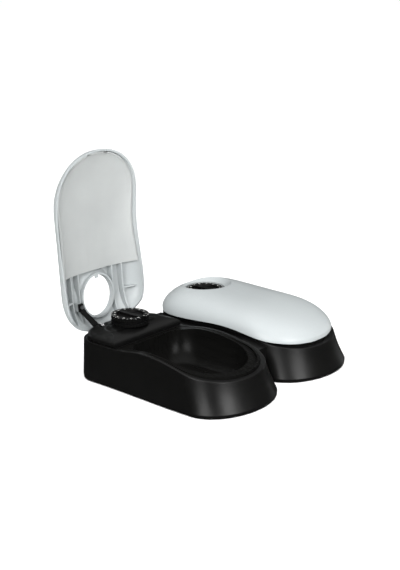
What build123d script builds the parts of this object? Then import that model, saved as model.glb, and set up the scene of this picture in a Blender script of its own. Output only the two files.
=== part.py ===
from build123d import *
import math
import os

os.makedirs("parts", exist_ok=True)

# Overall sizes in millimetres, X right, Y back, Z up, floor at zero
UNIT_X = 70.0
WALL = 2.4
SKIRT_Z = 1.2
PLATE_Z = 1.8
PLATE_T = 2.2
STEP_Y = 50.0
LIP_BAND = 3.4
FLANGE_T = 2.0
WEB_HALF = 15.0
WEB_FRONT = -64.0
WEB_BACK = 106.0
WEB_Z = 45.5
LID_T = 2.3
LID_OPEN = 96.0
LID_HALF = 67.0
LID_REAR = 119.8
LID_FRONT = -97.5
LID_CREST = 77.0
LID_TILT = 0.044
SHOULDER_Z = 48.5
LIP_ROUND = 1.4
PIVOT_Y = 113.0
PIVOT_Z = 51.0
PIN_R = 1.6
DIAL_Y = 79.0
DIAL_R = 22.4
DIAL_TOP = 70.6
DIAL_GROOVE_Z = 64.0
DIAL_FLANGE_Z = 66.6
DIAL_BOTTOM = 60.3
HOLE_R = 25.0
NOTCH_W = 8.0
BOSS_Z = 59.8
SHAFT_R = 3.0
RUN_GAP = 0.05
GEAR_MODULE = 0.7
GEAR_TEETH = 44
PINION_TEETH = 12
GEAR_Z = 38.0
GEAR_T = 4.0
CASE_R = 27.0
CASE_Z = 24.0
BATTERY_R = 7.25
BATTERY_L = 50.5
BATTERY_Y = 84.0
BATTERY_Z = 12.6
FOOT_POINTS = [(-112, -72), (112, -72), (-104, 92), (104, 92), (0, 0)]

# Side view of the base lip and of the lid rim, as (y, z) points
LIP_SIDE = [(50, 48.5), (15, 52.3), (-20, 51.6), (-50, 46.0), (-80, 39.6), (-130, 30.5)]
RIM_SIDE = [(90, 50.6), (52, 51.0), (10, 53.2), (-25, 51.7), (-60, 46.2), (-96, 40.5), (-130, 35.5)]
RIM_BACK = [(130, 57.2), (113, 57.2), (106, 55.6), (98, 51.6), (90, 50.6)]


# Helpers
def plan_wire(z, rear, corner, half_rear, half_front, front_c, front):
    """Plan outline: flat back with round corners, easy sides, elliptical front."""
    flat = half_rear - corner
    side = rear - corner
    down = [(0, -1), (0, -1)]
    edges = [
        Line((-flat, rear), (flat, rear)),
        CenterArc((flat, side), corner, 90, -90),
        Spline((half_rear, side), (half_front, front_c), tangents=down),
        EllipticalCenterArc((0, front_c), half_front, front_c - front, 0, arc_size=-180),
        Spline((-half_rear, side), (-half_front, front_c), tangents=down),
        CenterArc((-flat, side), corner, 90, 90),
    ]
    return Pos(0, 0, z) * Wire(edges)


def lid_corner(half, middle, reach, power, angle):
    """Point on a rounded end of the lid outline, squarer than an ellipse where power is over 2."""
    x = half * max(0.0, math.cos(angle)) ** (2 / power)
    return (x, middle + reach * max(0.0, math.sin(angle)) ** (2 / power))


def lid_side(rear, front, half, side):
    """One side of the lid outline, as one curve from the middle of the back to the middle of the front."""
    back = (rear - 12) * 0.52
    nose = (12 - front) * 0.54
    start = rear - back
    end = front + nose
    turns = [math.pi * step / 12 for step in range(7)]
    points = [lid_corner(half, start, back, 2.7, turn) for turn in reversed(turns)]
    points += [(half, start + (end - start) * part / 4) for part in (1, 2, 3)]
    points += [lid_corner(half, end, -nose, 2.12, turn) for turn in turns]
    points[0] = (0, rear)
    points[-1] = (0, front)
    return Spline(*[(side * x, y) for x, y in points], tangents=[(side, 0), (-side, 0)])


def lid_wire(z, rear, front, half, tilt):
    """Plan outline of the lid: square round back, straight sides, oval front, tipped up at the back."""
    edges = [lid_side(rear, front, half, 1), lid_side(rear, front, half, -1)]
    return Pos(0, 20, z) * Rot(math.degrees(math.atan(tilt)), 0, 0) * Pos(0, -20, 0) * Wire(edges)


def loft_of(wires):
    return Solid.make_loft(wires)


def block(x0, x1, y0, y1, z0, z1):
    return Pos((x0 + x1) / 2, (y0 + y1) / 2, (z0 + z1) / 2) * Box(x1 - x0, y1 - y0, z1 - z0)


def rod(x, y, z0, z1, r):
    return Pos(x, y, (z0 + z1) / 2) * Cylinder(r, z1 - z0)


def rod_x(x0, x1, y, z, r):
    return Pos((x0 + x1) / 2, y, z) * Rot(0, 90, 0) * Cylinder(r, x1 - x0)


def side_prism(curves, closing, half_width):
    """Solid as wide as the object from a closed (y, z) side profile."""
    outline = Wire([e for c in curves for e in c.edges()] + list(Polyline(*closing).edges()))
    face = Plane.YZ.offset(-half_width) * Face(outline)
    return extrude(face, amount=2 * half_width, dir=(1, 0, 0))


def shifted(points, dz):
    return [(y, z + dz) for y, z in points]


def below_lip(dz, half_width=200.0):
    """Everything under the lip line and the shoulder behind it, moved up by dz."""
    lip = Spline(*shifted(LIP_SIDE, dz), tangents=[(-1, 0), (-1, -0.18)])
    first = lip @ 0
    last = lip @ 1
    closing = [(last.X, last.Y), (last.X, -20), (140, -20), (140, first.Y), (first.X, first.Y)]
    return side_prism([lip], closing, half_width)


def above_rim(dz, half_width=90.0):
    """Everything over the lid rim line, moved up by dz."""
    back = Spline(*shifted(RIM_BACK, dz), tangents=[(-1, 0), (-1, 0.0)])
    front = Spline(*shifted(RIM_SIDE, dz), tangents=[(-1, 0), (-1, -0.1)])
    closing = [(-130, RIM_SIDE[-1][1] + dz), (-130, 130), (130, 130), (130, RIM_BACK[0][1] + dz)]
    return side_prism([back, front], closing, half_width)


def both_units(shape):
    return [Pos(-UNIT_X, 0, 0) * shape, Pos(UNIT_X, 0, 0) * shape]


# Lid dome, its inner form and the shallow dish of the liner share one formula
LID_LEVELS = [0.0, 0.2, 0.4, 0.58, 0.73, 0.85, 0.94, 0.985, 0.998]


def lid_form(inset, crest):
    wires = [lid_wire(28, LID_REAR - inset, LID_FRONT + inset, LID_HALF - inset, 0)]
    for level in LID_LEVELS:
        z = 45.0 + (crest - 45.0) * level
        across = (1 - level ** 2.56) ** (1 / 2.56)
        along = max(0.0, (z - 41.0) / (crest - 41.0))
        behind = max(0.0, (z - 50.0) / (crest - 50.0))
        front = -2.3 - (-LID_FRONT - 2.3 - inset) * (1 - along ** 1.88) ** (1 / 1.88)
        rear = 80 + (LID_REAR - 80 - inset) * math.sqrt(1 - behind ** 2)
        wires.append(lid_wire(z, rear, front, (LID_HALF - inset) * across, LID_TILT * level))
    return loft_of(wires)


# Base outer and inner forms
# Each row: height, rear, corner radius, half width rear and front, front centre, front tip
FOOT_ROWS = [
    (0.0, 115.6, 30.0, 59.9, 66.4, -70.0, -115.4),
    (5.0, 116.0, 30.0, 60.2, 66.8, -70.0, -116.0),
]
WALL_ROWS = [
    (5.0, 116.0, 30.0, 60.2, 66.8, -70.0, -116.0),
    (23.0, 115.6, 30.0, 59.7, 63.4, -62.0, -106.4),
    (41.0, 115.2, 30.0, 59.3, 61.9, -53.0, -100.9),
    (59.0, 114.8, 30.0, 59.0, 61.0, -45.0, -98.0),
]


def rows_loft(rows, inset):
    wires = []
    for z, rear, corner, half_rear, half_front, front_c, front in rows:
        wires.append(
            plan_wire(
                z, rear - inset, corner - inset, half_rear - inset,
                half_front - inset, front_c, front + inset,
            )
        )
    return loft_of(wires)


def base_form(inset, low, top_dz):
    form = (rows_loft(FOOT_ROWS, inset) + rows_loft(WALL_ROWS, inset)) & below_lip(top_dz)
    return form & block(-200, 200, -150, 150, low, 200)


def bowl_wire(z, grow, front, back, half):
    """Plan outline of the bowl opening, grown by the given amount."""
    return plan_wire(z, back + grow, 26 + grow, half + grow, half + grow, -38, front - grow)


def cup(grow, floor_z, top_z):
    return loft_of([
        bowl_wire(floor_z, grow, -66, 28, 34),
        bowl_wire(floor_z + 4, grow, -73, 34, 40),
        bowl_wire(floor_z + 16, grow, -80, 40, 46.5),
        bowl_wire(top_z, grow, -86, 43, 50.5),
    ])


BOWL_FLOOR = 13.0
BOWL_WALL = 1.8
WELL_GAP = 0.6
WELL_WALL = 2.0
bowl_in = cup(0, BOWL_FLOOR, 56)
bowl_out = cup(BOWL_WALL, BOWL_FLOOR - BOWL_WALL, 56)
well_in = cup(BOWL_WALL + WELL_GAP, BOWL_FLOOR - BOWL_WALL, 56)
well_out = cup(BOWL_WALL + WELL_GAP + WELL_WALL, BOWL_FLOOR - BOWL_WALL - WELL_WALL, 56)

# Seat of the bowl flange, a shallow recess inside the lip
FLANGE_DZ = -2.4


def seat_form(inset):
    back = STEP_Y - 2.0 - inset
    return loft_of([
        plan_wire(20, back, 8, 55.6 - inset, 58.6 - inset, -52.0, LIP_BAND - 103.0 + inset),
        plan_wire(62, back, 8, 55.6 - inset, 57.0 - inset, -44.0, LIP_BAND - 97.0 + inset),
    ])


# Raised deck behind each bowl: inset from the wall, crowned towards the dial, rolled over in front
# Each row: height and inset; the face is the side view of the front edge
DECK_ROWS = [
    (42.0, -0.2), (51.4, 0.0), (53.6, 0.7), (55.2, 2.4),
    (56.8, 6.0), (58.3, 12.0), (59.3, 19.0), (BOSS_Z, 27.0),
]
DECK_FACE = [(STEP_Y, 51.6), (51.3, 54.2), (55.0, 56.2), (62.0, 58.2), (72.0, 59.5), (84.0, 60.2)]


def deck_wire(z, inset):
    return plan_wire(z, 113.6 - inset, 36.0 - inset, 57.7 - inset, 57.7 - inset, 20, 0)


def deck_form(inset):
    """Deck body, or the room inside it where an inset is given."""
    form = loft_of([deck_wire(z - inset, row_inset + inset) for z, row_inset in DECK_ROWS])
    face = Spline(*[(y + inset, z - inset) for y, z in DECK_FACE], tangents=[(0, 1), (1, 0)])
    first = face @ 0
    last = face @ 1
    closing = [(last.X, last.Y), (140, last.Y), (140, 20), (first.X, 20), (first.X, first.Y)]
    return form & side_prism([face], closing, 200)


deck_body = deck_form(0)
deck_room = deck_form(WALL) + (base_form(WALL, 0, 0) & block(-200, 200, STEP_Y + WALL, 150, 0, 42.5))

# Housing wall with a rounded lip, and the room inside it
TOP_SKIN = 5.2
outer = base_form(0, SKIRT_Z, 0)


def is_lip(edge):
    box = edge.bounding_box()
    return box.min.Z > 30 and box.size.X + box.size.Y > 8


outer = outer.fillet(LIP_ROUND, [edge for edge in outer.edges() if is_lip(edge)])
inner = base_form(WALL, 0, -TOP_SKIN) + deck_room
PLATE_TOP = PLATE_Z + PLATE_T
WELL_FLOOR = BOWL_FLOOR - BOWL_WALL - WELL_WALL

# Posts that take the plate screws, two under the deck and one under the bowl well
POSTS = [(-46, 62), (46, 62), (0, -52)]
POST_BORES = [9.0, 9.0, 3.6]

# Bosses under the deck that take the timer case
CASE_EARS = [(-34.0, DIAL_Y), (34.0, DIAL_Y)]
EAR_Z = 44.0

# Shaft bush in the deck under the dial
bush = rod(0, DIAL_Y, 49.0, BOSS_Z, 6.0)

# Hinge pocket at the back edge of the deck, with the arm slot in front of it
POCKET = (-26.0, -9.5)
ARM_SLOT = (-28.5, -15.4)
pocket = block(POCKET[0], POCKET[1], PIVOT_Y - 6.0, 130, PIVOT_Z - 5.2, 70)
arm_slot = block(ARM_SLOT[0], ARM_SLOT[1], 100, PIVOT_Y - 3, PIVOT_Z - 5.2, 70)
arm_trough = loft_of([
    Pos(-33.0, 86.0, 69.0) * Rot(90, 0, 0) * Wire.make_rect(8.4, 10.0),
    Pos(-20.0, PIVOT_Y - 1.0, PIVOT_Z + 2.6) * Rot(90, 0, 0) * Wire.make_rect(11.0, 10.0),
])
TUB_X = (ARM_SLOT[0] - 2, POCKET[1] + 4.5)
tub_floor = block(TUB_X[0], TUB_X[1], 105, 115, PIVOT_Z - 7.4, SHOULDER_Z - 1) & base_form(0.3, 0, 0)
pocket_tub = block(TUB_X[0], TUB_X[1], 98, 112.5, PIVOT_Z - 7.4, 53.5) & deck_body
pocket_tub = pocket_tub + tub_floor
pin_bore = rod_x(POCKET[0] - 3.8, POCKET[1] + 3.8, PIVOT_Y, PIVOT_Z, PIN_R)

# Housing of one half, cut for the bowl, its flange, the dial shaft and the hinge
unit = outer + deck_body - inner
unit = unit + bush + pocket_tub
for x, y in POSTS[:2]:
    unit = unit + rod(x, y, PLATE_TOP, 57.0, 4.0) - rod(x, y, 0, PLATE_TOP + POST_BORES[0], 1.25)
for x, y in CASE_EARS:
    unit = unit + rod(x, y, EAR_Z, 58.0, 4.0) - rod(x, y, 40, 51, 1.1)
seat_cut = (seat_form(0) - below_lip(FLANGE_DZ)) & block(-200, 200, -150, STEP_Y - 1.9, 0, 200)
unit = unit - well_in - seat_cut
unit = unit - rod(0, DIAL_Y, 20, 90, SHAFT_R + RUN_GAP)
unit = unit - pocket - arm_slot - arm_trough - pin_bore

# Bridge between the halves, and the slot in their inner walls that the base plate runs through
plate_slot = block(-14.8, 14.8, WEB_FRONT + WALL, WEB_BACK - WALL, -5, PLATE_TOP + 0.4)
bridge = block(-WEB_HALF, WEB_HALF, WEB_FRONT, WEB_BACK, SKIRT_Z, WEB_Z) & below_lip(-3.0)
bridge_room = block(-WEB_HALF, WEB_HALF, WEB_FRONT + WALL, WEB_BACK - WALL, -5, WEB_Z - WALL)
bridge = bridge - (bridge_room & below_lip(-3.0 - WALL))
for solid_half in both_units(outer):
    bridge = bridge - solid_half
left_half, right_half = [half - plate_slot for half in both_units(unit)]

# Well under each bowl, with the post for a plate screw
well_body = well_out & below_lip(-TOP_SKIN)
well = well_body + rod(POSTS[2][0], POSTS[2][1], PLATE_TOP, WELL_FLOOR + 1, 4.0)
well = well - well_in - rod(POSTS[2][0], POSTS[2][1], 0, PLATE_TOP + POST_BORES[2], 1.25)

# Bowl with its flange and the upstanding rim at the front
flange = (seat_form(0.4) & below_lip(FLANGE_DZ + FLANGE_T)) - below_lip(FLANGE_DZ)
rim_band = (seat_form(0.4) - seat_form(3.2)) - above_rim(-0.9) - below_lip(-1.0)
rim_band = rim_band & block(-90, 90, -150, 0, 0, 200)
bowl = flange + (bowl_out & below_lip(-0.6)) + rim_band - bowl_in

LINER_GAP = 0.2
LINER_T = 1.6
DISH_CREST = 68.0
LEDGE_Y = 48.0
COLLAR_T = 2.2
COLLAR_Z = 64.6
HOLE_Z = 71.2
HOLE_CREST = LID_CREST + LID_TILT * (DIAL_Y - 20)
lid_out = lid_form(0, LID_CREST)
lid_in = lid_form(LID_T, LID_CREST - LID_T)
dish_back = lid_form(LID_T + LINER_GAP, DISH_CREST)
dish_face = lid_form(LID_T + LINER_GAP + LINER_T, DISH_CREST - LINER_T)
lid = (lid_out - lid_in) & above_rim(0)

# Ribs and pads inside the lid, cut to the ceiling and to the dish surface
RIB_X = [-43.0, -28.6, 28.6, 43.0]
RIB_T = 1.8
rib_space = (lid_in - dish_face) & block(-80, 80, LEDGE_Y + 0.3, 112, 58.5, 90)
ribs = [block(x - RIB_T / 2, x + RIB_T / 2, 20, 130, 50, 90) for x in RIB_X]
ribs.append(block(-70, RIB_X[0], DIAL_Y - RIB_T / 2, DIAL_Y + RIB_T / 2, 50, 90))
ribs.append(block(RIB_X[3], 70, DIAL_Y - RIB_T / 2, DIAL_Y + RIB_T / 2, 50, 90))
ARM_PAD = (-34.6, -28.4, 82.5, 92.0)
PAD_Z = 66.0
arm_room = block(-36.5, -19.0, 81.5, 130, 40, PAD_Z)
for rib in ribs:
    lid = lid + ((rib & rib_space) - arm_room)
pad = block(ARM_PAD[0], ARM_PAD[1], ARM_PAD[2], ARM_PAD[3], PAD_Z, 90) & lid_out
lid = lid + pad
PEGS = [(-34, 30), (34, 30), (-34, -40), (34, -40)]
for x, y in PEGS:
    lid = lid + ((rod(x, y, 50, 90, 3.0) & lid_in) - dish_back)

# Collar and dished edge round the dial hole, with the catch tooth at its front
COLLAR_PROFILE = [
    (HOLE_R, COLLAR_Z), (HOLE_R + COLLAR_T, COLLAR_Z), (HOLE_R + COLLAR_T, HOLE_Z - 2.0),
    (HOLE_R + 11, HOLE_CREST - 2.6), (HOLE_R + 11, HOLE_CREST + 4), (HOLE_R, HOLE_CREST + 4),
]
DISH_PROFILE = [
    (0, HOLE_Z), (HOLE_R + 0.8, HOLE_Z), (HOLE_R + 10, HOLE_CREST + 0.2),
    (HOLE_R + 10, HOLE_CREST + 9), (0, HOLE_CREST + 9),
]


def turned(profile, x=0.0, y=DIAL_Y):
    face = Plane.XZ * make_face(Polyline(*profile, close=True))
    return Pos(x, y, 0) * revolve(face, axis=Axis.Z)


lid = lid + (turned(COLLAR_PROFILE) & lid_out)
lid = lid - turned(DISH_PROFILE) - rod(0, DIAL_Y, 40, 90, HOLE_R)
TOOTH_TIP = 21.4
lid = lid + block(-2.5, 2.5, DIAL_Y - HOLE_R - 1.2, DIAL_Y - TOOTH_TIP, COLLAR_Z, COLLAR_Z + 1.5)
ARM_SCREW = (-31.5, 86.6)
lid = lid - rod(ARM_SCREW[0], ARM_SCREW[1], PAD_Z - 1, PAD_Z + 5, 1.1)

# Liner: shallow dish over the bowl, closed at the back by a ledge
under_lid = lid_form(LID_T + LINER_GAP, LID_CREST - LID_T - LINER_GAP)
ledge = under_lid & block(-80, 80, LEDGE_Y - LINER_T, LEDGE_Y, 57, 90)
liner = (dish_back & block(-80, 80, -130, LEDGE_Y, 0, 90)) + ledge
liner = (liner - dish_face) & above_rim(2.4)
COLLAR_ROOM = [
    (0, 58), (HOLE_R + COLLAR_T + 0.4, 58), (HOLE_R + COLLAR_T + 0.4, HOLE_Z - 2.5),
    (HOLE_R + 11.4, HOLE_CREST - 3.2), (HOLE_R + 11.4, 95), (0, 95),
]
liner = liner - turned(COLLAR_ROOM)

# Arm with its hinge barrel
arm_bar = loft_of([
    Pos(-31.5, 90.0, 63.9) * Rot(90, 0, 0) * Wire.make_rect(6.2, 4.0),
    Pos(-20.0, PIVOT_Y - 1.0, PIVOT_Z + 0.6) * Rot(90, 0, 0) * Wire.make_rect(8.0, 4.8),
])
arm = block(ARM_PAD[0], ARM_PAD[1], ARM_PAD[2], ARM_PAD[3], PAD_Z - 3.2, PAD_Z) + arm_bar
arm = arm + rod_x(-24.0, -16.0, PIVOT_Y, PIVOT_Z, 3.6)
arm = arm - rod_x(-30, -10, PIVOT_Y, PIVOT_Z, PIN_R + RUN_GAP)
arm = arm - rod(ARM_SCREW[0], ARM_SCREW[1], 50, 80, 1.1)
arm_screw = rod(ARM_SCREW[0], ARM_SCREW[1], PAD_Z - 3.2, PAD_Z + 4.5, 1.1)
arm_screw = arm_screw + rod(ARM_SCREW[0], ARM_SCREW[1], PAD_Z - 4.9, PAD_Z - 3.2, 2.3)
hinge_pin = rod_x(POCKET[0] - 3.6, POCKET[1] + 3.6, PIVOT_Y, PIVOT_Z, PIN_R)

# Lid spring: a coil on the pin with one leg on the pocket floor and one beside the arm
COIL_R = 2.5
WIRE_R = 0.4
COIL_X = (-15.0, -10.6)
UPRIGHT = (Align.CENTER, Align.CENTER, Align.MIN)


def spring(arm_angle):
    coil_path = Helix(1.1, COIL_X[1] - COIL_X[0], COIL_R, (COIL_X[0], PIVOT_Y, PIVOT_Z), (1, 0, 0))
    start = coil_path @ 0
    coil = sweep(Plane(start, z_dir=coil_path % 0) * Circle(WIRE_R), path=coil_path)
    legs = []
    for x, angle in [(COIL_X[0], arm_angle), (COIL_X[1], 197.0)]:
        along = Vector(0, math.cos(math.radians(angle)), math.sin(math.radians(angle)))
        side = Vector(0, -along.Z, along.Y) * COIL_R
        foot = Vector(x, PIVOT_Y, PIVOT_Z) + side
        legs.append(Plane(foot, z_dir=along) * Cylinder(WIRE_R, 4.4, align=UPRIGHT))
    return coil + legs[0] + legs[1]


# Timer dial with two scalloped rings, a groove, a notch, a dished top and a grip bar
SCALLOPS = 30
scallops = PolarLocations(DIAL_R + 0.35, SCALLOPS, start_angle=90.0 - 180.0 / SCALLOPS) * Circle(0.9)
ring_plan = Circle(DIAL_R) - scallops
dial = Pos(0, DIAL_Y, DIAL_BOTTOM) * extrude(ring_plan, amount=DIAL_GROOVE_Z - DIAL_BOTTOM)
dial = dial + rod(0, DIAL_Y, DIAL_BOTTOM, DIAL_TOP, DIAL_R - 2.0)
dial = dial + Pos(0, DIAL_Y, DIAL_FLANGE_Z) * extrude(ring_plan, amount=DIAL_TOP - DIAL_FLANGE_Z)
DIAL_DISH = [(0, DIAL_TOP - 2.6), (15.5, DIAL_TOP - 2.6), (17.2, DIAL_TOP + 1), (0, DIAL_TOP + 1)]
dial = dial - turned(DIAL_DISH)
grip = Pos(0, DIAL_Y, DIAL_TOP - 3) * extrude(SlotOverall(33.0, 6.0, rotation=90), amount=3.2, taper=8)
dial = dial + (grip & rod(0, DIAL_Y, 50, 90, 16.4))
notch_y = (DIAL_Y - DIAL_R - 2, DIAL_Y - 18.4)
dial = dial - block(-NOTCH_W / 2, NOTCH_W / 2, notch_y[0], notch_y[1], DIAL_FLANGE_Z - 1, 80)
dial = dial - rod(0, DIAL_Y, 50, 66.0, SHAFT_R)

# Timer: shaft, gears, movement block and case
GEAR_PITCH = GEAR_MODULE * GEAR_TEETH / 2
PINION_PITCH = GEAR_MODULE * PINION_TEETH / 2
PINION_Y = DIAL_Y - GEAR_PITCH - PINION_PITCH - 0.35


def gear(teeth, bore, z, y, turn):
    pitch = GEAR_MODULE * teeth / 2
    points = []
    for tooth in range(teeth):
        middle = math.radians(turn + 360.0 * tooth / teeth)
        for radius, spread in [(-1.3, -1.2), (0.85, -0.42), (0.85, 0.42), (-1.3, 1.2)]:
            r = pitch + radius * GEAR_MODULE
            angle = middle + spread * math.pi / (2.3 * teeth)
            points.append((r * math.cos(angle), r * math.sin(angle)))
    plan = make_face(Polyline(*points, close=True))
    if bore > 0:
        plan = plan - Circle(bore)
    return Pos(0, y, z) * extrude(plan, amount=GEAR_T)


dial_shaft = rod(0, DIAL_Y, CASE_Z + 2.3, 66.0, SHAFT_R)
drive_gear = gear(GEAR_TEETH, SHAFT_R, GEAR_Z, DIAL_Y, 0.0)
motor_pinion = gear(PINION_TEETH, 0, GEAR_Z, PINION_Y, 180.0 / PINION_TEETH)
motor_pinion = motor_pinion + rod(0, PINION_Y, GEAR_Z - 8.5, GEAR_Z, 1.2)
movement = block(-8.2, 8.2, 55.6, 68.0, CASE_Z + 2.0, GEAR_Z - 2.5)
movement = movement - rod(0, PINION_Y, GEAR_Z - 9.0, GEAR_Z, 1.2 + RUN_GAP)
case = rod(0, DIAL_Y, CASE_Z, EAR_Z - 0.8, CASE_R) - rod(0, DIAL_Y, CASE_Z + 2.0, 60, CASE_R - 1.6)
case = case + rod(0, DIAL_Y, CASE_Z + 1.0, CASE_Z + 9.0, 5.5)
case = case - rod(0, DIAL_Y, CASE_Z + 2.0, 60, SHAFT_R + RUN_GAP)
case_screws = []
for x, y in CASE_EARS:
    ear = Pos(x * 0.95, y, EAR_Z - 1.5) * Box(13.0, 9.0, 3.0)
    case = case + ear - rod(x, y, 30, 60, 1.3)
    case_screws.append(rod(x, y, EAR_Z - 3, EAR_Z + 6, 1.1) + rod(x, y, EAR_Z - 4.7, EAR_Z - 3, 2.3))

# Base plate with the battery bay, battery, contacts and door
plate_wire = plan_wire(PLATE_Z, 112.7, 27.1, 57.0, 63.5, -70.0, -112.5)
plate_unit = extrude(Face(plate_wire), amount=PLATE_T, dir=(0, 0, 1))
END_X = BATTERY_L / 2 + 0.6
BAY_Y = (BATTERY_Y - BATTERY_R - 0.6, BATTERY_Y + BATTERY_R + 0.6)
for x0, x1 in [(-END_X - 2, -END_X), (END_X, END_X + 2)]:
    plate_unit = plate_unit + block(x0, x1, BAY_Y[0], BAY_Y[1], PLATE_TOP - 0.5, 20.5)
for y0, y1 in [(BAY_Y[0] - 1.6, BAY_Y[0]), (BAY_Y[1], BAY_Y[1] + 1.6)]:
    plate_unit = plate_unit + block(-END_X - 2, END_X + 2, y0, y1, PLATE_TOP - 0.5, 15.0)
DOOR = (-23.0, 23.0, BATTERY_Y - 6.5, BATTERY_Y + 6.5)
plate_unit = plate_unit - block(DOOR[0] - 0.3, DOOR[1] + 0.3, DOOR[2] - 0.3, DOOR[3] + 0.3, 0, PLATE_TOP)
for x, y in POSTS:
    plate_unit = plate_unit - rod(x, y, 0, 10, 1.4)
base_plate = block(-14.4, 14.4, WEB_FRONT + WALL + 0.4, WEB_BACK - WALL - 0.4, PLATE_Z, PLATE_TOP)
for half in both_units(plate_unit):
    base_plate = base_plate + half
for x, y in FOOT_POINTS:
    base_plate = base_plate - rod(x, y, 0, 10, 2.5)
door = block(DOOR[0], DOOR[1], DOOR[2], DOOR[3], PLATE_Z, PLATE_TOP)
for x0, x1 in [(DOOR[0] - 1.6, DOOR[0] + 2), (DOOR[1] - 2, DOOR[1] + 1.6)]:
    door = door + block(x0, x1, BATTERY_Y - 3, BATTERY_Y + 3, PLATE_TOP, PLATE_TOP + 0.9)
for step in range(3):
    door = door - block(-18 + 3 * step, -16.6 + 3 * step, BATTERY_Y - 4, BATTERY_Y + 4, 0, PLATE_Z + 0.6)
battery = rod_x(-BATTERY_L / 2, BATTERY_L / 2 - 1.2, BATTERY_Y, BATTERY_Z, BATTERY_R)
battery = battery + rod_x(BATTERY_L / 2 - 1.3, BATTERY_L / 2, BATTERY_Y, BATTERY_Z, 2.7)
contacts = [
    block(x0, x1, BATTERY_Y - 5, BATTERY_Y + 5, BATTERY_Z - 5, 22.0)
    for x0, x1 in [(-END_X, -BATTERY_L / 2), (BATTERY_L / 2, END_X)]
]
feet = [rod(x, y, 0, PLATE_Z, 7.0) + rod(x, y, PLATE_Z, PLATE_TOP, 2.5) for x, y in FOOT_POINTS]
plate_screws = []
for (x, y), deep in zip(POSTS, POST_BORES):
    screw = rod(x, y, 0.8, PLATE_Z, 2.8) + rod(x, y, PLATE_Z, PLATE_TOP + deep - 0.5, 1.25)
    plate_screws.extend(both_units(screw))

# Write every piece, the left lid standing open and the right lid closed
hinge = Axis((0, PIVOT_Y, PIVOT_Z), (1, 0, 0))


def write(name, shape):
    export_step(shape, "parts/" + name + ".step")


write("housing_left", left_half)
write("housing_right", right_half)
write("housing_bridge", bridge)
write("base_plate", base_plate)
write("rubber_feet", Compound(feet))
write("plate_screws", Compound(plate_screws))
for side, x, opening in [("left", -UNIT_X, LID_OPEN), ("right", UNIT_X, 0.0)]:
    place = Pos(x, 0, 0)
    fixed = {
        "bowl_well": well, "bowl": bowl, "hinge_pin": hinge_pin, "timer_dial": dial,
        "dial_shaft": dial_shaft, "drive_gear": drive_gear, "motor_pinion": motor_pinion,
        "timer_movement": movement,
        "timer_case": case, "case_screws": Compound(case_screws), "battery": battery,
        "battery_contacts": Compound(contacts), "battery_door": door,
        "lid_spring": spring(146.0 - opening),
    }
    swung = {"lid": lid, "lid_liner": liner, "lid_arm": arm, "arm_screw": arm_screw}
    for name, shape in fixed.items():
        write(name + "_" + side, place * shape)
    for name, shape in swung.items():
        write(name + "_" + side, place * shape.rotate(hinge, -opening))
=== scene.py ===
import math

import bmesh
import bpy
from mathutils import Matrix, Vector
from mathutils.bvhtree import BVHTree
from mathutils.interpolate import poly_3d_calc


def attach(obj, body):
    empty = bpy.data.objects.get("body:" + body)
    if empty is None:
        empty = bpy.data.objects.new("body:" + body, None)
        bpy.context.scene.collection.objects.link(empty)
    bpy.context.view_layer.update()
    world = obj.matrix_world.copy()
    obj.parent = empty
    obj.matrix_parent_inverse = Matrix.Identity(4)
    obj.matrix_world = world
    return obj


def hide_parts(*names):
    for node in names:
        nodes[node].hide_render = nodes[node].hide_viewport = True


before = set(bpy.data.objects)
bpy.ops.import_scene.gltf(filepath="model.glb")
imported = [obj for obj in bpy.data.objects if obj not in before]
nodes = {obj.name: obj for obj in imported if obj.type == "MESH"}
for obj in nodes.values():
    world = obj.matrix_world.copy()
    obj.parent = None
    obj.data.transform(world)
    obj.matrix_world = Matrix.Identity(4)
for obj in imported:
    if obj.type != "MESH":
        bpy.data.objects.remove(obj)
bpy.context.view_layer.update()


# Base plate and battery doors: flat covers moulded in the same black plastic as the housing.
# The plate is held by screws from below, and each door snaps over a cell with two tabs.
# Their face is a fine spark texture, duller than the outer walls.
SIDES = ("left", "right")
PLATE_BLACK = (0.0125, 0.0125, 0.0122)


def new_material(name):
    material = bpy.data.materials.new(name)
    material.use_nodes = True
    shader = material.node_tree.nodes["Principled BSDF"]
    return material, material.node_tree, shader


def noise_of(tree, scale, detail=3.0, stretch=(1.0, 1.0, 1.0)):
    """Noise on Object coordinates, stretched along an axis where the finish has a direction."""
    place = tree.nodes.new("ShaderNodeTexCoord")
    mapping = tree.nodes.new("ShaderNodeMapping")
    mapping.inputs["Scale"].default_value = stretch
    noise = tree.nodes.new("ShaderNodeTexNoise")
    noise.inputs["Scale"].default_value = scale
    noise.inputs["Detail"].default_value = detail
    tree.links.new(place.outputs["Object"], mapping.inputs["Vector"])
    tree.links.new(mapping.outputs["Vector"], noise.inputs["Vector"])
    return noise.outputs["Fac"]


def spread(tree, value, low, high, from_low=0.3, from_high=0.7):
    """Maps a noise value to a range of roughness or height."""
    node = tree.nodes.new("ShaderNodeMapRange")
    node.inputs["From Min"].default_value = from_low
    node.inputs["From Max"].default_value = from_high
    node.inputs["To Min"].default_value = low
    node.inputs["To Max"].default_value = high
    tree.links.new(value, node.inputs["Value"])
    return node.outputs["Result"]


def two_tone(tree, value, dark, light, low=0.35, high=0.65):
    """Colour ramp between two close tones of one moulding."""
    ramp = tree.nodes.new("ShaderNodeValToRGB")
    ramp.color_ramp.elements[0].position = low
    ramp.color_ramp.elements[0].color = (*dark, 1.0)
    ramp.color_ramp.elements[1].position = high
    ramp.color_ramp.elements[1].color = (*light, 1.0)
    tree.links.new(value, ramp.inputs["Fac"])
    return ramp.outputs["Color"]


def raise_grain(tree, shader, height, strength, distance):
    bump = tree.nodes.new("ShaderNodeBump")
    bump.inputs["Strength"].default_value = strength
    bump.inputs["Distance"].default_value = distance
    tree.links.new(height, bump.inputs["Height"])
    tree.links.new(bump.outputs["Normal"], shader.inputs["Normal"])


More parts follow.
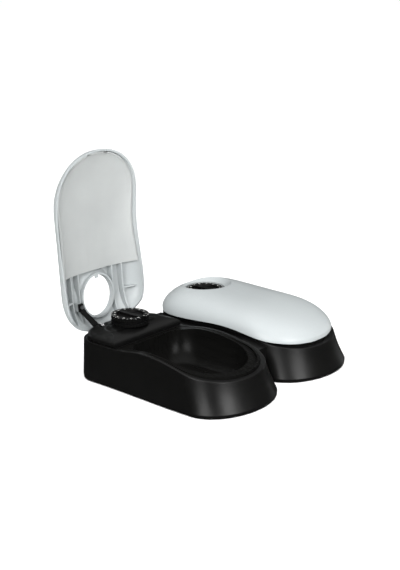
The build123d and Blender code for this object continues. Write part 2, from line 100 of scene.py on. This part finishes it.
def scaled(colour, factor):
    return tuple(min(1.0, c * factor) for c in colour)


def moulded(name, colour, gloss, grain, depth, contrast=0.18, shine=0.35):
    """Moulded plastic with cloudy tone, uneven gloss (two roughness values) and a fine grain."""
    material, tree, shader = new_material(name)
    shader.inputs["Specular IOR Level"].default_value = shine
    cloud = noise_of(tree, 18.0, 4.0)
    tone = two_tone(tree, cloud, scaled(colour, 1 - contrast), scaled(colour, 1 + contrast))
    tree.links.new(tone, shader.inputs["Base Color"])
    patches = noise_of(tree, 55.0, 5.0)
    tree.links.new(spread(tree, patches, gloss[0], gloss[1]), shader.inputs["Roughness"])
    raise_grain(tree, shader, noise_of(tree, grain, 2.0), 0.35, depth)
    return material


def dress(node, material):
    """Gives a CAD node's object its finish."""
    slots = nodes[node].data.materials
    if not slots:
        slots.append(material)
    for index in range(len(slots)):
        slots[index] = material


plate_plastic = moulded("plate_plastic", PLATE_BLACK, (0.5, 0.62), 1400.0, 0.00012)
dress("base_plate", plate_plastic)
for side in SIDES:
    dress("battery_door_" + side, plate_plastic)


# Rubber feet: five soft black discs, each pressed by a stem into a hole in the plate.
# Moulded rubber, dull, with a faint bloom of paler dust.
FOOT_BLACK = (0.016, 0.016, 0.0155)
foot_rubber = moulded("foot_rubber", FOOT_BLACK, (0.78, 0.92), 900.0, 0.0002, 0.3)
dress("rubber_feet", foot_rubber)


# Screws: zinc-plated self-tapping screws that hold the plate, the timer cases and the arms.
# Rolled from wire, so the plating shows faint turning marks and patchy dullness.
ZINC = (0.56, 0.56, 0.575)


def drawn_metal(name, colour, gloss, along, streak=420.0):
    """Bright metal with fine lines along one direction; along is the stretch of the lines."""
    material, tree, shader = new_material(name)
    shader.inputs["Metallic"].default_value = 1.0
    lines = noise_of(tree, streak, 3.0, along)
    tone = two_tone(tree, lines, scaled(colour, 0.86), scaled(colour, 1.08))
    tree.links.new(tone, shader.inputs["Base Color"])
    dull = noise_of(tree, 160.0, 4.0)
    tree.links.new(spread(tree, dull, gloss[0], gloss[1]), shader.inputs["Roughness"])
    raise_grain(tree, shader, lines, 0.2, 0.00005)
    return material


screw_zinc = drawn_metal("screw_zinc", ZINC, (0.28, 0.42), (1.0, 1.0, 0.15))
dress("plate_screws", screw_zinc)
for side in SIDES:
    dress("case_screws_" + side, screw_zinc)
    dress("arm_screw_" + side, screw_zinc)


# Batteries: one AA cell a side in a plain shrunk film, lying in a bay on the plate.
# The cell presses against two nickel-plated spring-steel leaves at its ends.
WRAP_DARK = (0.012, 0.016, 0.02)
WRAP_COPPER = (0.45, 0.22, 0.09)
WRAP_BAND_X = 0.009
UNIT_X = 0.07
NICKEL = (0.66, 0.64, 0.6)


def cell_wrap(name, centre_x):
    """Dark film with a copper band towards the raised end, split by place along the cell."""
    material, tree, shader = new_material(name)
    place = tree.nodes.new("ShaderNodeTexCoord")
    apart = tree.nodes.new("ShaderNodeSeparateXYZ")
    tree.links.new(place.outputs["Object"], apart.inputs["Vector"])
    edge = centre_x + WRAP_BAND_X
    step = spread(tree, apart.outputs["X"], 0.0, 1.0, edge - 0.0001, edge + 0.0001)
    tone = two_tone(tree, step, WRAP_DARK, WRAP_COPPER, 0.45, 0.55)
    tree.links.new(tone, shader.inputs["Base Color"])
    film = noise_of(tree, 220.0, 4.0, (0.3, 1.0, 1.0))
    tree.links.new(spread(tree, film, 0.22, 0.36), shader.inputs["Roughness"])
    raise_grain(tree, shader, film, 0.15, 0.0001)
    return material


contact_nickel = drawn_metal("contact_nickel", NICKEL, (0.2, 0.34), (1.0, 0.2, 1.0))
for side, centre_x in zip(SIDES, (-UNIT_X, UNIT_X)):
    dress("battery_" + side, cell_wrap("cell_wrap_" + side, centre_x))
    dress("battery_contacts_" + side, contact_nickel)


# Timers: a round grey case under each deck with a movement block, a pinion and a drive gear.
# Case and block are plain mouldings; the gears are white acetal, slightly waxy.
CASE_GREY = (0.075, 0.075, 0.08)
ACETAL = (0.76, 0.74, 0.68)
timer_plastic = moulded("timer_plastic", CASE_GREY, (0.42, 0.55), 1100.0, 0.0001)
gear_acetal = moulded("gear_acetal", ACETAL, (0.3, 0.4), 700.0, 0.00005, 0.05)
gear_acetal.node_tree.nodes["Principled BSDF"].inputs["Subsurface Weight"].default_value = 0.08
for side in SIDES:
    dress("timer_case_" + side, timer_plastic)
    dress("timer_movement_" + side, timer_plastic)
    dress("drive_gear_" + side, gear_acetal)
    dress("motor_pinion_" + side, gear_acetal)


# Hinge pins, dial shafts and lid springs: ground steel rod and drawn spring wire.
# A pin is pressed into the deck behind each dial, and the spring is wound on it.
GROUND_STEEL = (0.6, 0.6, 0.61)
SPRING_WIRE = (0.42, 0.42, 0.43)
ground_steel = drawn_metal("ground_steel", GROUND_STEEL, (0.16, 0.28), (0.1, 1.0, 1.0), 900.0)
spring_wire = drawn_metal("spring_wire", SPRING_WIRE, (0.24, 0.4), (1.0, 1.0, 1.0), 1500.0)
for side in SIDES:
    dress("hinge_pin_" + side, ground_steel)
    dress("dial_shaft_" + side, ground_steel)
    dress("lid_spring_" + side, spring_wire)


# Housing: two black halves with flared feet and raised decks, a bridge between them
# and a well under each bowl. Injection-moulded styrene with an even satin face,
# so broad soft highlights run down the round fronts, with light rubbing where it is handled.
HOUSING_BLACK = (0.0025, 0.0025, 0.0024)
HOUSING_SHINE = 0.14
housing_plastic, housing_tree, housing_shader = new_material("housing_plastic")
housing_shader.inputs["Specular IOR Level"].default_value = HOUSING_SHINE
cloud = noise_of(housing_tree, 9.0, 5.0)
housing_tone = two_tone(housing_tree, cloud, HOUSING_BLACK, scaled(HOUSING_BLACK, 1.5), 0.4, 0.75)
housing_tree.links.new(housing_tone, housing_shader.inputs["Base Color"])
handled = noise_of(housing_tree, 32.0, 6.0)
housing_tree.links.new(spread(housing_tree, handled, 0.3, 0.38), housing_shader.inputs["Roughness"])
raise_grain(housing_tree, housing_shader, noise_of(housing_tree, 1900.0, 2.0), 0.22, 0.00008)
for node in ("housing_left", "housing_right", "housing_bridge", "bowl_well_left", "bowl_well_right"):
    dress(node, housing_plastic)


# Bowls: thin black drop-in trays whose flange lies in a recess inside the lip.
# Smooth polypropylene, a little greyer than the housing, with fine wiping scratches.
BOWL_BLACK = (0.003, 0.003, 0.0028)
BOWL_SHINE = 0.04
bowl_plastic, bowl_tree, bowl_shader = new_material("bowl_plastic")
bowl_shader.inputs["Specular IOR Level"].default_value = BOWL_SHINE
wipes = noise_of(bowl_tree, 240.0, 4.0, (1.0, 0.08, 0.4))
bowl_tone = two_tone(bowl_tree, wipes, BOWL_BLACK, scaled(BOWL_BLACK, 1.35), 0.45, 0.8)
bowl_tree.links.new(bowl_tone, bowl_shader.inputs["Base Color"])
bowl_tree.links.new(spread(bowl_tree, wipes, 0.24, 0.34), bowl_shader.inputs["Roughness"])
raise_grain(bowl_tree, bowl_shader, noise_of(bowl_tree, 1300.0, 2.0), 0.2, 0.00008)
for side in SIDES:
    dress("bowl_" + side, bowl_plastic)


# Timer dials: black knurled knobs pressed on the shafts, turned by hand to set the hours.
# Moulded in black nylon, with hour numbers and strokes printed white on the flat top ring.
DIAL_BLACK = (0.0028, 0.0028, 0.0028)
PRINT_WHITE = (0.78, 0.78, 0.76)
DIAL_Y = 0.079
DIAL_TOP = 0.0706
PRINT_THICK = 0.00006
HOURS = range(0, 49, 4)
HOUR_STEP = math.radians(27.5)
FIRST_HOUR = math.radians(-75.0)
NUMBER_HEIGHT = 0.0026
NUMBER_RADIUS = 0.0184
STROKE_RADIUS = 0.0216
STROKE_SIZE = (0.0012, 0.00045, PRINT_THICK)
dial_nylon = moulded("dial_nylon", DIAL_BLACK, (0.34, 0.44), 1600.0, 0.0001, 0.25, 0.04)
print_white = moulded("print_white", PRINT_WHITE, (0.5, 0.62), 2600.0, 0.00003, 0.06)


def stroke_tree():
    """Node tree: printed strokes on an arc about a centre, each turned along its radius."""
    tree = bpy.data.node_groups.new("hour_strokes", "GeometryNodeTree")
    for label, kind in (
        ("Count", "NodeSocketInt"),
        ("First", "NodeSocketFloat"),
        ("Step", "NodeSocketFloat"),
        ("Radius", "NodeSocketFloat"),
        ("Centre", "NodeSocketVector"),
        ("Size", "NodeSocketVector"),
        ("Print", "NodeSocketMaterial"),
    ):
        tree.interface.new_socket(label, in_out="INPUT", socket_type=kind)
    tree.interface.new_socket("Geometry", in_out="OUTPUT", socket_type="NodeSocketGeometry")
    given = tree.nodes.new("NodeGroupInput").outputs
    index = tree.nodes.new("GeometryNodeInputIndex")
    angle = tree.nodes.new("ShaderNodeMath")
    angle.operation = "MULTIPLY_ADD"
    tree.links.new(index.outputs[0], angle.inputs[0])
    tree.links.new(given["Step"], angle.inputs[1])
    tree.links.new(given["First"], angle.inputs[2])
    spoke = tree.nodes.new("ShaderNodeCombineXYZ")
    for axis, operation in (("X", "COSINE"), ("Y", "SINE")):
        wave = tree.nodes.new("ShaderNodeMath")
        wave.operation = operation
        tree.links.new(angle.outputs[0], wave.inputs[0])
        tree.links.new(wave.outputs[0], spoke.inputs[axis])
    reach = tree.nodes.new("ShaderNodeVectorMath")
    reach.operation = "SCALE"
    tree.links.new(spoke.outputs[0], reach.inputs[0])
    tree.links.new(given["Radius"], reach.inputs["Scale"])
    place = tree.nodes.new("ShaderNodeVectorMath")
    tree.links.new(reach.outputs[0], place.inputs[0])
    tree.links.new(given["Centre"], place.inputs[1])
    points = tree.nodes.new("GeometryNodePoints")
    tree.links.new(given["Count"], points.inputs["Count"])
    tree.links.new(place.outputs[0], points.inputs["Position"])
    stroke = tree.nodes.new("GeometryNodeMeshCube")
    tree.links.new(given["Size"], stroke.inputs["Size"])
    turn = tree.nodes.new("ShaderNodeCombineXYZ")
    tree.links.new(angle.outputs[0], turn.inputs["Z"])
    copies = tree.nodes.new("GeometryNodeInstanceOnPoints")
    tree.links.new(points.outputs[0], copies.inputs["Points"])
    tree.links.new(stroke.outputs["Mesh"], copies.inputs["Instance"])
    tree.links.new(turn.outputs[0], copies.inputs["Rotation"])
    real = tree.nodes.new("GeometryNodeRealizeInstances")
    tree.links.new(copies.outputs[0], real.inputs[0])
    inked = tree.nodes.new("GeometryNodeSetMaterial")
    tree.links.new(real.outputs[0], inked.inputs["Geometry"])
    tree.links.new(given["Print"], inked.inputs["Material"])
    tree.links.new(inked.outputs[0], tree.nodes.new("NodeGroupOutput").inputs[0])
    return tree


def grown(name, tree, settings):
    """Plain mesh object from a node tree, with its named inputs set."""
    seed = bpy.data.objects.new(name + "_seed", bpy.data.meshes.new(name + "_seed"))
    bpy.context.scene.collection.objects.link(seed)
    modifier = seed.modifiers.new("grow", "NODES")
    modifier.node_group = tree
    for item in tree.interface.items_tree:
        if item.item_type == "SOCKET" and item.in_out == "INPUT":
            modifier[item.identifier] = settings[item.name]
    bpy.context.view_layer.update()
    view = bpy.context.evaluated_depsgraph_get()
    mesh = bpy.data.meshes.new_from_object(seed.evaluated_get(view), depsgraph=view)
    mesh.name = name
    bpy.data.objects.remove(seed)
    piece = bpy.data.objects.new(name, mesh)
    bpy.context.scene.collection.objects.link(piece)
    return piece


def number_mesh(text):
    """Flat printed number about its own middle."""
    curve = bpy.data.curves.new("number", "FONT")
    curve.body = text
    curve.size = NUMBER_HEIGHT
    curve.align_x = "CENTER"
    curve.align_y = "CENTER"
    curve.extrude = PRINT_THICK / 2
    curve.resolution_u = 3
    source = bpy.data.objects.new("number", curve)
    bpy.context.scene.collection.objects.link(source)
    bpy.context.view_layer.update()
    view = bpy.context.evaluated_depsgraph_get()
    mesh = bpy.data.meshes.new_from_object(source.evaluated_get(view), depsgraph=view)
    bpy.data.objects.remove(source)
    return mesh


def hour_numbers(name, centre):
    """All numbers of one dial in one mesh, each standing outward on the ring."""
    gathered = bmesh.new()
    for step, hour in enumerate(HOURS):
        angle = FIRST_HOUR + HOUR_STEP * step
        mesh = number_mesh(str(hour))
        at = Vector(centre) + NUMBER_RADIUS * Vector((math.cos(angle), math.sin(angle), 0.0))
        mesh.transform(Matrix.Translation(at) @ Matrix.Rotation(angle - math.pi / 2, 4, "Z"))
        gathered.from_mesh(mesh)
    mesh = bpy.data.meshes.new(name)
    gathered.to_mesh(mesh)
    gathered.free()
    mesh.materials.append(print_white)
    piece = bpy.data.objects.new(name, mesh)
    bpy.context.scene.collection.objects.link(piece)
    return piece


strokes = stroke_tree()
for side, dial_x in zip(SIDES, (-UNIT_X, UNIT_X)):
    dress("timer_dial_" + side, dial_nylon)
    print_centre = (dial_x, DIAL_Y, DIAL_TOP + PRINT_THICK / 2)
    settings = {
        "Count": 2 * len(HOURS) - 1,
        "First": FIRST_HOUR,
        "Step": HOUR_STEP / 2,
        "Radius": STROKE_RADIUS,
        "Centre": print_centre,
        "Size": STROKE_SIZE,
        "Print": print_white,
    }
    for piece in (
        grown("dial_strokes_" + side, strokes, settings),
        hour_numbers("dial_numbers_" + side, print_centre),
    ):
        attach(piece, "dial_" + side)


# Arms: black bars, each with a barrel that turns on the hinge pin and a pad screwed to the lid.
# Glass-filled nylon, with a slightly dry, mottled face.
ARM_BLACK = (0.002, 0.002, 0.002)
arm_nylon = moulded("arm_nylon", ARM_BLACK, (0.36, 0.5), 1000.0, 0.00014, 0.3, 0.12)
for side in SIDES:
    dress("lid_arm_" + side, arm_nylon)


# Lids: silver-grey domes with an arched rim, moulded in one with the ribs and the collar inside.
# The styrene is tinted with fine metal flake, so it is smooth and soft rather than mirror bright.
# The solid has two shallow steps up its nose, so the shown lid is its mesh laid on the true dome.
LID_SILVER = (0.31, 0.331, 0.335)
LID_SHINE = 0.3
LID_FRONT = -0.0974  # 0.1 mm short of the solid's outline, to stay inside its box
LID_HALF = 0.067
LID_CREST = 0.077
LID_WALL = 0.0023
LID_TILT = 0.044
TILT_Y = 0.02
DOME_FOOT = 0.028
DOME_START = 0.045
NOSE_START = 0.041
NOSE_MIDDLE = -0.0023
WAIST_Y = 0.012
NOSE_LENGTH = 0.54
DOME_ROUND = 2.56
NOSE_ROUND = 1.88
OVAL_ROUND = 2.12
DOME_TOP = 0.998
LID_SWING = math.radians(96.0)
HINGE = Vector((0.0, 0.113, 0.051))
NOSE_COLUMNS = 180
NOSE_ROWS = 90
NOSE_LOW = 0.034
NOSE_BACK = 0.01
NOSE_REACH = 0.0019
NOSE_CLOSE = 0.0006
SAME_WAY = 0.5
FADE_START = 0.2
FADE_WIDTH = 0.4


def nose_point(inset, crest, z, angle):
    """Point of the dome's front: a level oval that shrinks to the crest and tips down in front."""
    level = max(0.0, (z - DOME_START) / (crest - DOME_START))
    along = (max(z, DOME_START) - NOSE_START) / (crest - NOSE_START)
    half = (LID_HALF - inset) * (1 - level**DOME_ROUND) ** (1 / DOME_ROUND)
    reach = NOSE_MIDDLE - LID_FRONT - inset
    front = NOSE_MIDDLE - reach * (1 - along**NOSE_ROUND) ** (1 / NOSE_ROUND)
    front += (LID_FRONT + inset - front) * max(0.0, (DOME_START - z) / (DOME_START - DOME_FOOT))
    nose = (WAIST_Y - front) * NOSE_LENGTH
    across = abs(math.cos(angle)) ** (2 / OVAL_ROUND)
    x = math.copysign(half * across, math.cos(angle))
    y = front + nose * (1 - abs(math.sin(angle)) ** (2 / OVAL_ROUND))
    tip = math.atan(LID_TILT * level)
    return Vector((x, TILT_Y + (y - TILT_Y) * math.cos(tip), z + (y - TILT_Y) * math.sin(tip)))


def eased(value):
    """Soft step from 0 to 1."""
    held = min(1.0, max(0.0, value))
    return held * held * (3 - 2 * held)


def nose_skin(inset, crest, outward):
    """One face of the dome's front: search tree, points, cells, normals, shares of the cells, side.
    A cell's share says how far a point above it is laid on it; it fades out towards the straight sides."""
    rise = DOME_START + (crest - DOME_START) * DOME_TOP - NOSE_LOW
    steps = [math.sin(math.pi / 2 * row / NOSE_ROWS) for row in range(NOSE_ROWS + 1)]
    angles = [math.pi * column / NOSE_COLUMNS for column in range(NOSE_COLUMNS + 1)]
    points = [nose_point(inset, crest, NOSE_LOW + rise * step, angle) for step in steps for angle in angles]
    wide = NOSE_COLUMNS + 1
    cells = []
    shares = []
    for row in range(NOSE_ROWS):
        for column in range(NOSE_COLUMNS):
            first = row * wide + column
            cells.append((first, first + wide, first + wide + 1, first + 1))
            turn = math.sin(math.pi * (column + 0.5) / NOSE_COLUMNS)
            shares.append(eased((turn - FADE_START) / FADE_WIDTH))
    mesh = bpy.data.meshes.new("nose_skin")
    mesh.from_pydata(points, [], cells)
    normals = [vertex.normal.copy() for vertex in mesh.vertices]
    bpy.data.meshes.remove(mesh)
    return BVHTree.FromPolygons(points, cells), points, cells, normals, shares, outward


def joined_copy(node, name):
    """Copy of a CAD mesh with its patches joined; an attribute keeps each corner's normal."""
    mesh = nodes[node].data.copy()
    mesh.name = name
    normals = [0.0] * (3 * len(mesh.loops))
    mesh.corner_normals.foreach_get("vector", normals)
    mesh.attributes.new("solid_normal", "FLOAT_VECTOR", "CORNER").data.foreach_set("vector", normals)
    joined = bmesh.new()
    joined.from_mesh(mesh)
    bmesh.ops.remove_doubles(joined, verts=joined.verts, dist=1e-6)
    joined.to_mesh(mesh)
    joined.free()
    return mesh


def skin_below(skin, at, facings):
    """Nearest place on a skin, if very close or facing the same way, with its distance, facing and share."""
    tree, points, cells, normals, shares, outward = skin
    place, _, index, distance = tree.find_nearest(at, NOSE_REACH)
    if place is None:
        return None
    weights = poly_3d_calc([points[corner] for corner in cells[index]], place)
    facing = Vector((0.0, 0.0, 0.0))
    for corner, weight in zip(cells[index], weights):
        facing += normals[corner] * weight
    facing = outward * facing.normalized()
    if distance > NOSE_CLOSE and max(facing.dot(other) for other in facings) < SAME_WAY:
        return None
    return distance, place, facing, shares[index]


def smooth_nose(node, name, skins, to_closed):
    """Copy of a lid or liner with its front on the true dome; to_closed brings it to the closed place."""
    mesh = joined_copy(node, name)
    turn = to_closed.to_3x3()
    solid_facings = [turn @ Vector(item.vector) for item in mesh.attributes["solid_normal"].data]
    corners_at = [[] for vertex in mesh.vertices]
    for corner, loop in enumerate(mesh.loops):
        corners_at[loop.vertex_index].append(corner)
    to_rest = to_closed.inverted()
    for vertex, corners in zip(mesh.vertices, corners_at):
        at = to_closed @ vertex.co
        if at.y > NOSE_BACK:
            continue
        facings = [solid_facings[corner] for corner in corners]
        found = [skin_below(skin, at, facings) for skin in skins]
        found = [place for place in found if place]
        if not found:
            continue
        _, place, facing, share = min(found, key=lambda item: item[0])
        vertex.co = to_rest @ at.lerp(place, share)
        for corner in corners:
            agree = solid_facings[corner].dot(facing)
            if abs(agree) > SAME_WAY:
                true_facing = math.copysign(1.0, agree) * facing
                solid_facings[corner] = solid_facings[corner].lerp(true_facing, share).normalized()
    back = turn.inverted()
    mesh.normals_split_custom_set([back @ facing for facing in solid_facings])
    mesh.attributes.remove(mesh.attributes["solid_normal"])
    piece = bpy.data.objects.new(name, mesh)
    bpy.context.scene.collection.objects.link(piece)
    return piece


def closing(side):
    """Brings a lid from the place where it is stored to the closed place about its own middle."""
    if side == "right":
        return Matrix.Translation((-UNIT_X, 0.0, 0.0))
    swing = Matrix.Rotation(LID_SWING, 4, "X")
    to_middle = Matrix.Translation((UNIT_X, 0.0, 0.0))
    return Matrix.Translation(HINGE) @ swing @ Matrix.Translation(-HINGE) @ to_middle


lid_plastic, lid_tree, lid_shader = new_material("lid_plastic")
lid_shader.inputs["Specular IOR Level"].default_value = LID_SHINE
flake = noise_of(lid_tree, 2600.0, 1.0)
lid_tone = two_tone(lid_tree, flake, scaled(LID_SILVER, 0.95), scaled(LID_SILVER, 1.05), 0.3, 0.7)
lid_tree.links.new(lid_tone, lid_shader.inputs["Base Color"])
lid_gloss = spread(lid_tree, noise_of(lid_tree, 26.0, 5.0), 0.3, 0.38)
lid_tree.links.new(lid_gloss, lid_shader.inputs["Roughness"])
raise_grain(lid_tree, lid_shader, noise_of(lid_tree, 1500.0, 2.0), 0.12, 0.00004)
lid_skins = [nose_skin(0.0, LID_CREST, 1), nose_skin(LID_WALL, LID_CREST - LID_WALL, -1)]
for side in SIDES:
    dress("lid_" + side, lid_plastic)
    shell = smooth_nose("lid_" + side, "lid_shell_" + side, lid_skins, closing(side))
    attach(shell, "lid_" + side)
    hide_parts("lid_" + side)


# Liners: pale shallow dishes snapped into the front of each lid over the bowl, with a ledge behind.
# Plain polypropylene, a touch warmer and duller than the lid, formed to the same outline as its dome.
LINER_GREY = (0.304, 0.316, 0.313)
LINER_INSET = 0.0025
LINER_WALL = 0.0016
DISH_CREST = 0.068
liner_plastic = moulded("liner_plastic", LINER_GREY, (0.4, 0.5), 1200.0, 0.00006, 0.04)
liner_skins = [
    nose_skin(LINER_INSET, DISH_CREST, 1),
    nose_skin(LINER_INSET + LINER_WALL, DISH_CREST - LINER_WALL, -1),
]
for side in SIDES:
    dress("lid_liner_" + side, liner_plastic)
    dish = smooth_nose("lid_liner_" + side, "liner_dish_" + side, liner_skins, closing(side))
    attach(dish, "lid_" + side)
    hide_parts("lid_liner_" + side)


# Floor, backdrop, light and camera: a plain white floor and wall, an overhead glow, soft boxes
# and the view of the photograph. The glow is dim near the horizon, so the black plastic stays black.
# Only the camera sees the wall.
FLOOR_PALE = (0.97, 0.97, 0.97)
FLOOR_HALF = 15.0
floor_mesh = bpy.data.meshes.new("floor")
floor_corners = [(-1, -1), (1, -1), (1, 1), (-1, 1)]
floor_points = [(x * FLOOR_HALF, y * FLOOR_HALF, 0.0) for x, y in floor_corners]
floor_mesh.from_pydata(floor_points, [], [(0, 1, 2, 3)])
floor = bpy.data.objects.new("floor", floor_mesh)
bpy.context.scene.collection.objects.link(floor)
floor_paper, _, floor_shader = new_material("floor_paper")
floor_shader.inputs["Base Color"].default_value = (*FLOOR_PALE, 1.0)
floor_shader.inputs["Roughness"].default_value = 0.9
floor_shader.inputs["Specular IOR Level"].default_value = 0.0
floor_mesh.materials.append(floor_paper)
floor.visible_glossy = False

WALL_RADIUS = 14.0
WALL_HEIGHT = 30.0
WALL_FOOT = -1.0
WALL_SIDES = 48
wall_mesh = bpy.data.meshes.new("backdrop")
wall_turns = [2 * math.pi * step / WALL_SIDES for step in range(WALL_SIDES)]
wall_ring = [(WALL_RADIUS * math.cos(turn), WALL_RADIUS * math.sin(turn)) for turn in wall_turns]
wall_points = [(x, y, z) for z in (WALL_FOOT, WALL_HEIGHT) for x, y in wall_ring]
wall_next = [(step + 1) % WALL_SIDES for step in range(WALL_SIDES)]
wall_faces = [(a, a + WALL_SIDES, b + WALL_SIDES, b) for a, b in enumerate(wall_next)]
wall_mesh.from_pydata(wall_points, [], wall_faces)
backdrop = bpy.data.objects.new("backdrop", wall_mesh)
bpy.context.scene.collection.objects.link(backdrop)
wall_paper, _, wall_shader = new_material("wall_paper")
wall_shader.inputs["Base Color"].default_value = (0.0, 0.0, 0.0, 1.0)
wall_shader.inputs["Specular IOR Level"].default_value = 0.0
wall_shader.inputs["Emission Color"].default_value = (1.0, 1.0, 1.0, 1.0)
wall_shader.inputs["Emission Strength"].default_value = 1.0
wall_mesh.materials.append(wall_paper)
backdrop.visible_diffuse = False
backdrop.visible_glossy = False
backdrop.visible_transmission = False
backdrop.visible_shadow = False

GLOW_LOW = 0.05
GLOW_HIGH = 2.9
GLOW_START = 0.6
world = bpy.data.worlds.new("studio")
world.use_nodes = True
glow_tree = world.node_tree
glow_place = glow_tree.nodes.new("ShaderNodeTexCoord")
glow_apart = glow_tree.nodes.new("ShaderNodeSeparateXYZ")
glow_tree.links.new(glow_place.outputs["Generated"], glow_apart.inputs["Vector"])
glow = spread(glow_tree, glow_apart.outputs["Z"], GLOW_LOW, GLOW_HIGH, GLOW_START, 1.0)
glow_tree.links.new(glow, glow_tree.nodes["Background"].inputs["Strength"])
glow_tree.nodes["Background"].inputs["Color"].default_value = (1.0, 1.0, 1.0, 1.0)
bpy.context.scene.world = world
bpy.context.scene.view_settings.view_transform = "Standard"


def soft_box(name, place, aim, size, power):
    light = bpy.data.lights.new(name, "AREA")
    light.shape = "RECTANGLE"
    light.size, light.size_y = size
    light.energy = power
    lamp = bpy.data.objects.new(name, light)
    lamp.location = place
    lamp.rotation_euler = (Vector(aim) - Vector(place)).to_track_quat("-Z", "Y").to_euler()
    bpy.context.scene.collection.objects.link(lamp)


MIDDLE = (0.0, 0.0, 0.08)
soft_box("front_box", (-0.22, -1.57, 0.85), MIDDLE, (0.72, 0.9), 29.0)
soft_box("left_box", (-1.8, -0.6, 1.0), MIDDLE, (1.2, 1.0), 48.0)
soft_box("right_box", (1.7, -0.2, 0.3), MIDDLE, (0.2, 0.8), 1.0)

CAMERA_PLACE = Vector((-1.0015, -0.7992, 0.4811))
CAMERA_AIM = Vector((-0.1022, -0.0549, 0.1380))
CAMERA_LENS = 71.78
SENSOR_WIDTH = 36.0
camera_data = bpy.data.cameras.new("camera")
camera_data.lens = CAMERA_LENS
camera_data.sensor_width = SENSOR_WIDTH
camera = bpy.data.objects.new("camera", camera_data)
camera.location = CAMERA_PLACE
camera.rotation_euler = (CAMERA_AIM - CAMERA_PLACE).to_track_quat("-Z", "Y").to_euler()
bpy.context.scene.collection.objects.link(camera)
bpy.context.scene.camera = camera
